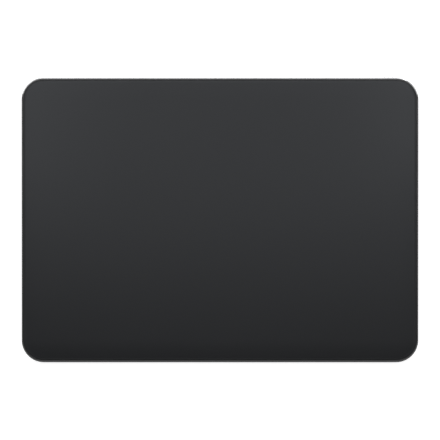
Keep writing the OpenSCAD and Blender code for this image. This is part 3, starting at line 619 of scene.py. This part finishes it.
GEL_COLOR = (0.2, 0.27, 0.34)
CLOUD_TINT = 1.25
gel = new_finish("gel", GEL_COLOR, IOR=1.41, Subsurface_Weight=0.4, Subsurface_Scale=1 * MM)
vary_roughness(gel, size=2 * MM, low=0.25, high=0.4)
bump_from(gel, soft_patches, strength=0.2, height=0.05 * MM, Size=1.5 * MM)
cloudy = use_group(gel.node_tree, soft_patches, Size=1 * MM)
mix_color(gel, cloudy.outputs["Value"], GEL_COLOR, tint(GEL_COLOR, CLOUD_TINT))
finishes.update({"foot_rubber": rubber, "gel": gel})
print("finishes", rubber.name, gel.name)

# %% [markdown]
# ## Bare metals
#
# Sheet steel keeps the lines of its rolling, the drive's core is a stack of thin sheets, copper wire
# keeps the lines of its drawing, and the contacts are gold over nickel. All are full metals and differ in
# colour, line pitch and gloss.

# %% Make the metals
METALS = {
    # slot: colour, roughness low and high, line group, pitch and height in mm, unevenness
    "steel": ((0.36, 0.365, 0.37), 0.32, 0.44, lines_along_x, 0.6, 0.006, 12.0),
    "core_steel": ((0.2, 0.2, 0.21), 0.34, 0.46, lines_along_x, 3.5, 0.05, 0.4),
    "screw_steel": ((0.35, 0.35, 0.36), 0.26, 0.36, lines_along_y, 0.8, 0.006, 10.0),
    "copper": ((0.6, 0.25, 0.12), 0.24, 0.34, lines_along_x, 0.5, 0.004, 8.0),
    "gold": ((0.75, 0.55, 0.22), 0.16, 0.26, lines_along_y, 0.5, 0.003, 8.0),
}
TARNISH_TINT = 0.88

for slot, (color, low, high, lines, pitch, height, uneven) in METALS.items():
    metal = new_finish(slot, color, Metallic=1.0)
    vary_roughness(metal, size=6 * MM, low=low, high=high)
    bump_from(metal, lines, strength=0.5, height=height * MM, Pitch=pitch * MM, Uneven=uneven)
    tarnish = use_group(metal.node_tree, soft_patches, Size=3 * MM)
    mix_color(metal, tarnish.outputs["Value"], tint(color, TARNISH_TINT), color)
    finishes[slot] = metal
print("metals", list(METALS))

# %% [markdown]
# ## Boards, cables and the battery
#
# The boards are green lacquer over copper, which shows as lighter tracks that stand up a little. The flat
# cables are amber film with copper strips inside, which run along the cable, so there is one finish for
# each of two directions. The battery is a pouch of aluminium foil, dull and faintly creased.

# %% Make the boards
BOARD_COLOR = (0.008, 0.06, 0.03)
TRACK_COLOR = (0.02, 0.13, 0.06)
board = new_finish("circuit_board", BOARD_COLOR, IOR=1.5)
vary_roughness(board, size=8 * MM, low=0.26, high=0.36)
copper_marks = bump_from(board, board_copper, strength=0.6, height=0.03 * MM, Pitch=0.9 * MM)
mix_color(board, copper_marks.outputs["Mask"], BOARD_COLOR, TRACK_COLOR)
print("finish", board.name)

# %% Make the cables and the foil
CABLE_COLOR = (0.4, 0.17, 0.04)
STRIP_COLOR = (0.58, 0.3, 0.09)


def cable_finish(name, lines):
    made = new_finish(name, CABLE_COLOR, IOR=1.6)
    vary_roughness(made, size=5 * MM, low=0.28, high=0.4)
    strips = bump_from(made, lines, strength=0.5, height=0.03 * MM, Pitch=3.0 * MM, Uneven=0.0)
    mix_color(made, strips.outputs["Height"], CABLE_COLOR, STRIP_COLOR)
    return made


cable = cable_finish("flat_cable", lines_along_y)
cable_along_x = cable_finish("flat_cable_along_x", lines_along_x)

FOIL_COLOR = (0.12, 0.125, 0.13)
FOIL_TINT = 1.3
foil = new_finish("battery_foil", FOIL_COLOR, Metallic=0.6)
vary_roughness(foil, size=5 * MM, low=0.36, high=0.5)
bump_from(foil, soft_patches, strength=0.3, height=0.06 * MM, Size=6 * MM)
sheen = use_group(foil.node_tree, soft_patches, Size=18 * MM)
mix_color(foil, sheen.outputs["Value"], FOIL_COLOR, tint(FOIL_COLOR, FOIL_TINT))
finishes.update({"circuit_board": board, "flat_cable": cable, "battery_foil": foil})
print("finishes", len(finishes))

# %% [markdown]
# ## Gel pads
#
# Four soft discs at the corners carry the touch plate and let it slide by a tenth of a millimetre. A disc
# that is glued and pressed between two plates keeps flat faces, and its side bulges. A bevelled cylinder
# would come close. A short profile, spun round the upright axis, gives the bulge itself, and the CAD pads
# say where each disc goes.

# %% Spin one gel pad
PAD_FACE = 3.75 * MM
PAD_BULGE = 0.25 * MM
PAD_HALF = 0.35 * MM
BULGE_STEPS = 8
PAD_STEPS = 64
MERGE_BELOW = 0.001 * MM

one_pad = bmesh.new()
profile = [one_pad.verts.new((0, 0, -PAD_HALF))]
for step in range(BULGE_STEPS + 1):
    turn = math.pi * (step / BULGE_STEPS - 0.5)
    radius = PAD_FACE + PAD_BULGE * math.cos(turn)
    profile.append(one_pad.verts.new((radius, 0, PAD_HALF * math.sin(turn))))
profile.append(one_pad.verts.new((0, 0, PAD_HALF)))
outline = [one_pad.edges.new(pair) for pair in zip(profile, profile[1:])]
bmesh.ops.spin(
    one_pad, geom=profile + outline, cent=(0, 0, 0), axis=(0, 0, 1),
    angle=math.tau, steps=PAD_STEPS, use_merge=True)
bmesh.ops.remove_doubles(one_pad, verts=one_pad.verts, dist=MERGE_BELOW)
bmesh.ops.recalc_face_normals(one_pad, faces=one_pad.faces)
pad_mesh = bpy.data.meshes.new("one_gel_pad")
one_pad.to_mesh(pad_mesh)
one_pad.free()
print("one pad", len(pad_mesh.polygons), "faces")

# %% Set a pad at each corner
DECK_RISE = 6 * MM
DECK_TILT = math.atan2(DECK_RISE, 2 * HALF_DEPTH)
SMOOTH_BELOW = math.radians(35)


def middle(points):
    return Vector([(min(p[i] for p in points) + max(p[i] for p in points)) / 2 for i in range(3)])


def new_piece(name, data, slot):
    data.materials.append(finishes[slot])
    piece = bpy.data.objects.new(name, data)
    bpy.context.scene.collection.objects.link(piece)
    return piece


def mesh_from(bm, name):
    mesh = bpy.data.meshes.new(name)
    bm.to_mesh(mesh)
    bm.free()
    if mesh.has_custom_normals:
        mesh.attributes.remove(mesh.attributes["custom_normal"])
    mesh.shade_smooth()
    mesh.set_sharp_from_angle(angle=SMOOTH_BELOW)
    return mesh


pads = bmesh.new()
spots = [vertex.co for vertex in nodes["gel_pads"].data.vertices]
for side_x in (-1, 1):
    for side_y in (-1, 1):
        spot = middle([p for p in spots if p.x * side_x > 0 and p.y * side_y > 0])
        placed = set(pads.verts)
        pads.from_mesh(pad_mesh)
        fresh = [vertex for vertex in pads.verts if vertex not in placed]
        stand = Matrix.Translation(spot) @ Matrix.Rotation(DECK_TILT, 4, "X")
        bmesh.ops.transform(pads, matrix=stand, verts=fresh)
soft_pads = new_piece("soft_pads", mesh_from(pads, "soft_pads"), "gel")
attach(soft_pads, "isolators")
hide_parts("gel_pads")
print("pads", len(soft_pads.data.polygons), "faces")

# %% [markdown]
# ## Coil windings
#
# The drive's four coils are enamelled wire, wound in one layer round flat steel poles. The CAD coil is a
# sleeve of the right size. Here each becomes a wire: a curve whose points go round the pole on a
# rectangle with round corners, and move along the pole by one wire for each turn. A round section on the
# curve makes it solid.

# %% Wind the coils
WIRE = 0.4 * MM
WIRE_GAP = 0.025 * MM
COIL_TURNS = 14
COIL_CORNER = 0.35 * MM
CORNER_STEPS = 4
COIL_COUNT = 4
COIL_WIDTH = 8 * MM
CORNERS = ((1, 1), (-1, 1), (-1, -1), (1, -1))
WIRE_ROUNDING = 2

coil_low, coil_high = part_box("haptic_coils")
coil_size = coil_high - coil_low
reach_x = (COIL_WIDTH - WIRE) / 2 - WIRE_GAP - COIL_CORNER
reach_z = (coil_size.z - WIRE) / 2 - WIRE_GAP - COIL_CORNER
one_turn = []
for quarter, (side_x, side_z) in enumerate(CORNERS):
    for step in range(CORNER_STEPS + 1):
        turn = math.pi / 2 * (quarter + step / CORNER_STEPS)
        one_turn.append((side_x * reach_x + COIL_CORNER * math.cos(turn),
                         side_z * reach_z + COIL_CORNER * math.sin(turn)))

wires = bpy.data.curves.new("coil_wires", "CURVE")
wires.dimensions = "3D"
wires.bevel_depth = WIRE / 2
wires.bevel_resolution = WIRE_ROUNDING
wires.use_fill_caps = True
way = one_turn * COIL_TURNS
for coil in range(COIL_COUNT):
    x = coil_low.x + COIL_WIDTH / 2 + coil * (coil_size.x - COIL_WIDTH) / (COIL_COUNT - 1)
    wire_line = wires.splines.new("POLY")
    wire_line.points.add(len(way) - 1)
    for k, (across, up) in enumerate(way):
        along = coil_low.y + WIRE / 2 + (coil_size.y - WIRE) * k / (len(way) - 1)
        wire_line.points[k].co = (x + across, along, (coil_low.z + coil_high.z) / 2 + up, 1)
coil_wires = new_piece("coil_wires", wires, "copper")
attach(coil_wires, "base")
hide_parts("haptic_coils")
print("coils", len(wires.splines), "of", COIL_TURNS, "turns")

# %% [markdown]
# ## Springs and a cable that bend
#
# When the plate is pressed, each corner spring bends: its root is screwed to the housing, and its round
# tip goes down with the gel pad. The flat cable between the touch plate and its plug bends too. The CAD
# pieces are rigid, so copies take their place. A copy starts as loose triangles: they are merged, and the
# normals that came with them are dropped. Then it is cut across a few times between its two ends.

# %% Make the bending copies
BEND_CUTS = 6


def bending_copy(name, node, slot, start, end):
    bm = bmesh.new()
    bm.from_mesh(nodes[node].data)
    bmesh.ops.remove_doubles(bm, verts=bm.verts, dist=MERGE_BELOW)
    for cut in range(1, BEND_CUTS):
        whole = bm.verts[:] + bm.edges[:] + bm.faces[:]
        crossing = start.lerp(end, cut / BEND_CUTS)
        bmesh.ops.bisect_plane(bm, geom=whole, plane_co=crossing, plane_no=end - start)
    piece = new_piece(name, mesh_from(bm, name), slot)
    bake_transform(piece)
    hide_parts(node)
    return piece


SPRING_ROOT = 61 * MM
SPRING_TIP = 65.5 * MM
CABLE_FLAT = 3 * MM

bending = []
for row in ("front", "rear"):
    for side, sign in (("left", -1), ("right", 1)):
        node = "flexure_" + row + "_" + side
        spot = middle([vertex.co for vertex in nodes[node].data.vertices])
        root = Vector((sign * SPRING_ROOT, spot.y, spot.z))
        tip = Vector((sign * SPRING_TIP, spot.y, spot.z))
        bending.append(bending_copy("spring_" + row + "_" + side, node, "steel", root, tip))

cable_low, cable_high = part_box("sensor_cable")
plug_end = Vector((cable_low.x, cable_high.y - CABLE_FLAT, cable_low.z))
plate_end = Vector((cable_low.x, cable_low.y + CABLE_FLAT, cable_low.z))
bending.append(bending_copy("sensor_ribbon", "sensor_cable", "flat_cable", plug_end, plate_end))
print("bending pieces", [piece.name for piece in bending])

# %% [markdown]
# ## Dressing the CAD nodes
#
# Each CAD node came with a plain material named after its slot in the record. Putting the finish of the
# same name in its place dresses every node, and the printed list shows if one was missed.

# %% Put the finishes on
CABLES_ALONG_X = ("rear_gauge_cables", "switch_cable")

bare = []
for name, piece in nodes.items():
    for holder in piece.material_slots:
        slot = holder.material.name.split(".")[0]
        if name in CABLES_ALONG_X:
            holder.material = cable_along_x
        elif slot in finishes:
            holder.material = finishes[slot]
        else:
            bare.append(name)
print("dressed", len(nodes) - len(bare), "nodes, bare:", bare)

# %% Measure and finish
low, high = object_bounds()
print("visual box", [round(side / MM, 2) for side in high - low], "mm")
